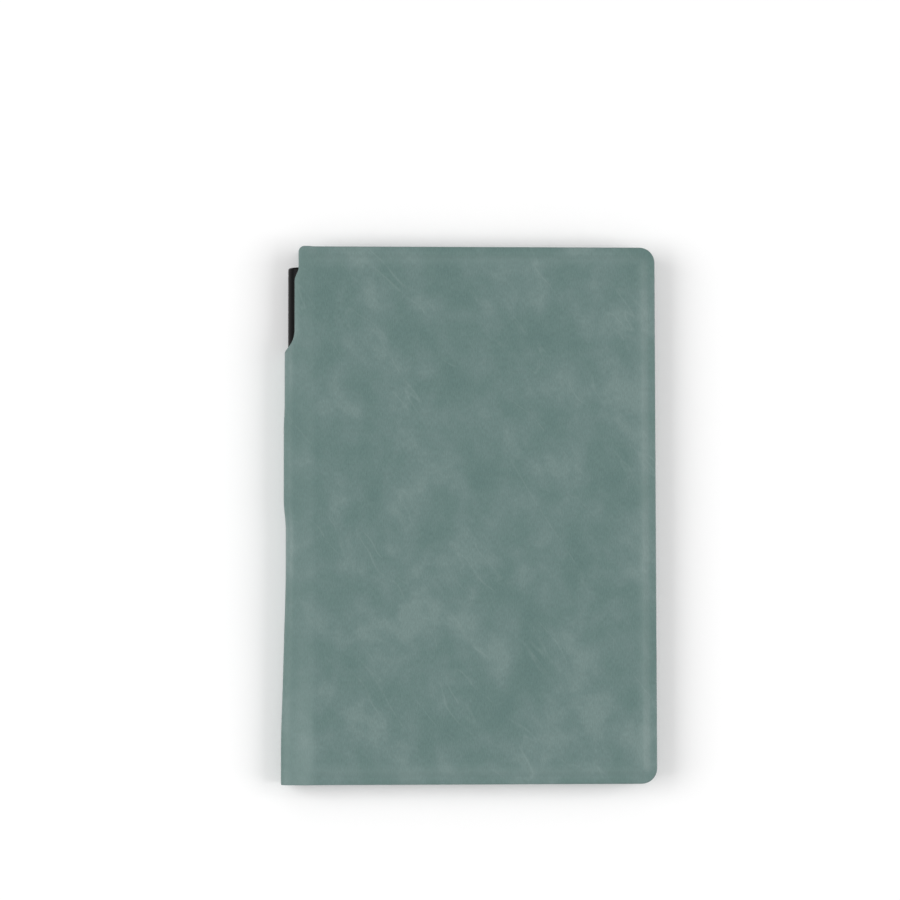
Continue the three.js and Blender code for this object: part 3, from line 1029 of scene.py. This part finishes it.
cloth_low, cloth_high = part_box("eraser_cloth")
FLAT_SIDE = 0.12
CLOTH_LAYER = 0.9 * MM
TIGHTEST_BEND = 0.15 * MM
SHARE_DRAWN = 0.985  # of the flat side, since the waves along its edges take up the rest
RIPPLE = 0.10 * MM
EDGE_WAVE = 0.30 * MM
EDGE_SLANT = 0.18 * MM
CLOTH_PLACE = (cloth_low.x + 2.2 * MM, cloth_low.y + 2.6 * MM)
cloth_gap = (cloth_high.z - cloth_low.z) / 4  # height of one of the four layers


def folded_cloth():
    """The cloth as one closed sheet, drawn flat and folded twice."""
    steps = np.linspace(0, 1, 97)
    v, u = np.meshgrid(steps, steps, indexing="ij")
    side_length = FLAT_SIDE * SHARE_DRAWN
    phases = np.random.default_rng(4).uniform(0, 2 * math.pi, 6)

    def fold(distance, height, middle):
        """Folds a strip about a line: distance runs from one edge to the other."""
        inner = np.maximum(middle - height, TIGHTEST_BEND)
        bend = math.pi * inner
        flat = side_length / 2 - bend / 2
        turn = np.clip((distance - flat) / inner, 0, math.pi)
        outside = np.maximum(flat - distance, 0) + np.maximum(distance - flat - bend, 0)
        return outside - inner * np.sin(turn), middle - inner * np.cos(turn)

    def sheet(offset):
        """The upper face for an offset of 1 and the lower face for -1."""
        ripple = RIPPLE * np.sin(7 * u + phases[0]) * np.sin(5 * v + phases[1])
        height = cloth_gap / 2 + offset * CLOTH_LAYER / 2 + ripple
        x_along, x_lift = fold(u * side_length, height, cloth_gap)
        y_along, y_lift = fold(v * side_length, x_lift, 2 * cloth_gap)
        x_wave = EDGE_WAVE * np.sin(9 * v + phases[2]) * u + EDGE_SLANT * np.sin(4 * v + phases[3])
        y_wave = EDGE_WAVE * np.sin(8 * u + phases[4]) * v + EDGE_SLANT * np.sin(5 * u + phases[5])
        place_x, place_y = CLOTH_PLACE
        points = [place_x + x_along + x_wave, place_y + y_along + y_wave, cloth_low.z + y_lift]
        return np.stack(points, axis=-1).reshape(-1, 3)

    grid = np.arange(u.size).reshape(u.shape)
    rim = outline_of(grid)
    faces = [faces_of(grid), grid.size + faces_of(grid)[:, ::-1]]
    faces.append(faces_between(rim, rim + grid.size))
    mesh = bpy.data.meshes.new("folded_eraser_cloth")
    points = np.concatenate([sheet(1), sheet(-1)])
    mesh.from_pydata(points.tolist(), [], np.concatenate(faces).tolist())
    places = np.stack([u, v], axis=-1).reshape(-1, 2) * FLAT_SIDE
    keep_flat_places(mesh, np.concatenate([places, places]))
    mesh.shade_smooth()
    return put_in_scene("folded_eraser_cloth", mesh)


def microfibre():
    """Pale pink split microfibre: a short looped pile, soft at grazing angles."""
    add, dress = new_material("pink_microfibre")
    flat = add("ShaderNodeUVMap", uv_map="flat").outputs["UV"]
    loops = add("ShaderNodeTexVoronoi", Vector=flat, Scale=1300.0).outputs["Distance"]
    nap = add("ShaderNodeTexNoise", Vector=flat, Scale=90.0, Detail=6.0).outputs["Fac"]
    tint = ramp(add, nap, [(0.3, srgb(214, 172, 170)), (0.7, srgb(232, 196, 193))])
    between_loops = ramp(add, loops, [(0.0, 1.0), (0.75, 0.78)])
    return dress({
        "Base Color": layer(add, tint, between_loops, 1.0, "MULTIPLY"),
        "Roughness": 1.0,
        "Specular IOR Level": 0.2,
        "Sheen Weight": 0.5,
        "Sheen Roughness": 0.4,
        "Normal": bump(add, loops, strength=0.8, distance=0.25 * MM),
    })


cloth = folded_cloth()
cloth.data.materials.append(microfibre())
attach(cloth, "eraser_cloth")
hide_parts("eraser_cloth")


# The table that the notebook lies on is matt and plain white. Two large softboxes, one on each
# side above it, and an even white sky light it, so that it hardly shows a shadow.

def white_table():
    """A matt white table top."""
    add, dress = new_material("white_table")
    place = add("ShaderNodeTexCoord").outputs["Object"]
    wash = add("ShaderNodeTexNoise", Vector=place, Scale=3.0).outputs["Fac"]
    return dress({
        "Base Color": ramp(add, wash, [(0.0, 0.985), (1.0, 1.0)]),
        "Roughness": 1.0,
        "Specular IOR Level": 0.0,
    })


TABLE_SIZE = 6.0
TABLE_Z = -0.3 * MM  # just below the notebook's back
SOFTBOX_SIZE = 1.1

bpy.ops.mesh.primitive_plane_add(size=TABLE_SIZE, location=(0, 0, TABLE_Z))
table = bpy.context.object
table.name = "table"
table.data.materials.append(white_table())


def softbox(name, place, power):
    """A square area light that looks at the notebook."""
    data = bpy.data.lights.new(name, "AREA")
    data.shape = "SQUARE"
    data.size = SOFTBOX_SIZE
    data.energy = power
    light = put_in_scene(name, data)
    light.location = place
    light.rotation_euler = (-Vector(place)).to_track_quat("-Z", "Y").to_euler()


softbox("left_softbox", place=(-1.15, 0.05, 1.05), power=12.6)
softbox("right_softbox", place=(1.15, -0.05, 1.05), power=10.4)

world = bpy.data.worlds.new("studio")
world.use_nodes = True
background = world.node_tree.nodes["Background"]
background.inputs["Color"].default_value = (1, 1, 1, 1)
background.inputs["Strength"].default_value = 0.49
bpy.context.scene.world = world

# The camera looks down from above, as the photo was taken, a few degrees from the spine side
# and from the bottom edge, so that the top and the fore-edge are a little further away.

IMAGE_SIDE = 900  # pixels
PIXELS_PER_MM = 2.5037
CAMERA_DISTANCE = 1.25
CAMERA_TILT = (3.2, -2.8, -0.1)  # degrees
AIM = Vector((-8.16 * MM, 25.7 * MM, thickness))

camera_data = bpy.data.cameras.new("camera")
camera_data.sensor_width = 36.0
seen_width = IMAGE_SIDE / PIXELS_PER_MM * MM
camera_data.lens = camera_data.sensor_width * CAMERA_DISTANCE / seen_width
camera = put_in_scene("camera", camera_data)
camera.rotation_euler = [math.radians(angle) for angle in CAMERA_TILT]
camera.location = AIM + camera.rotation_euler.to_matrix() @ Vector((0, 0, CAMERA_DISTANCE))
bpy.context.scene.camera = camera
bpy.context.scene.view_settings.view_transform = "Standard"
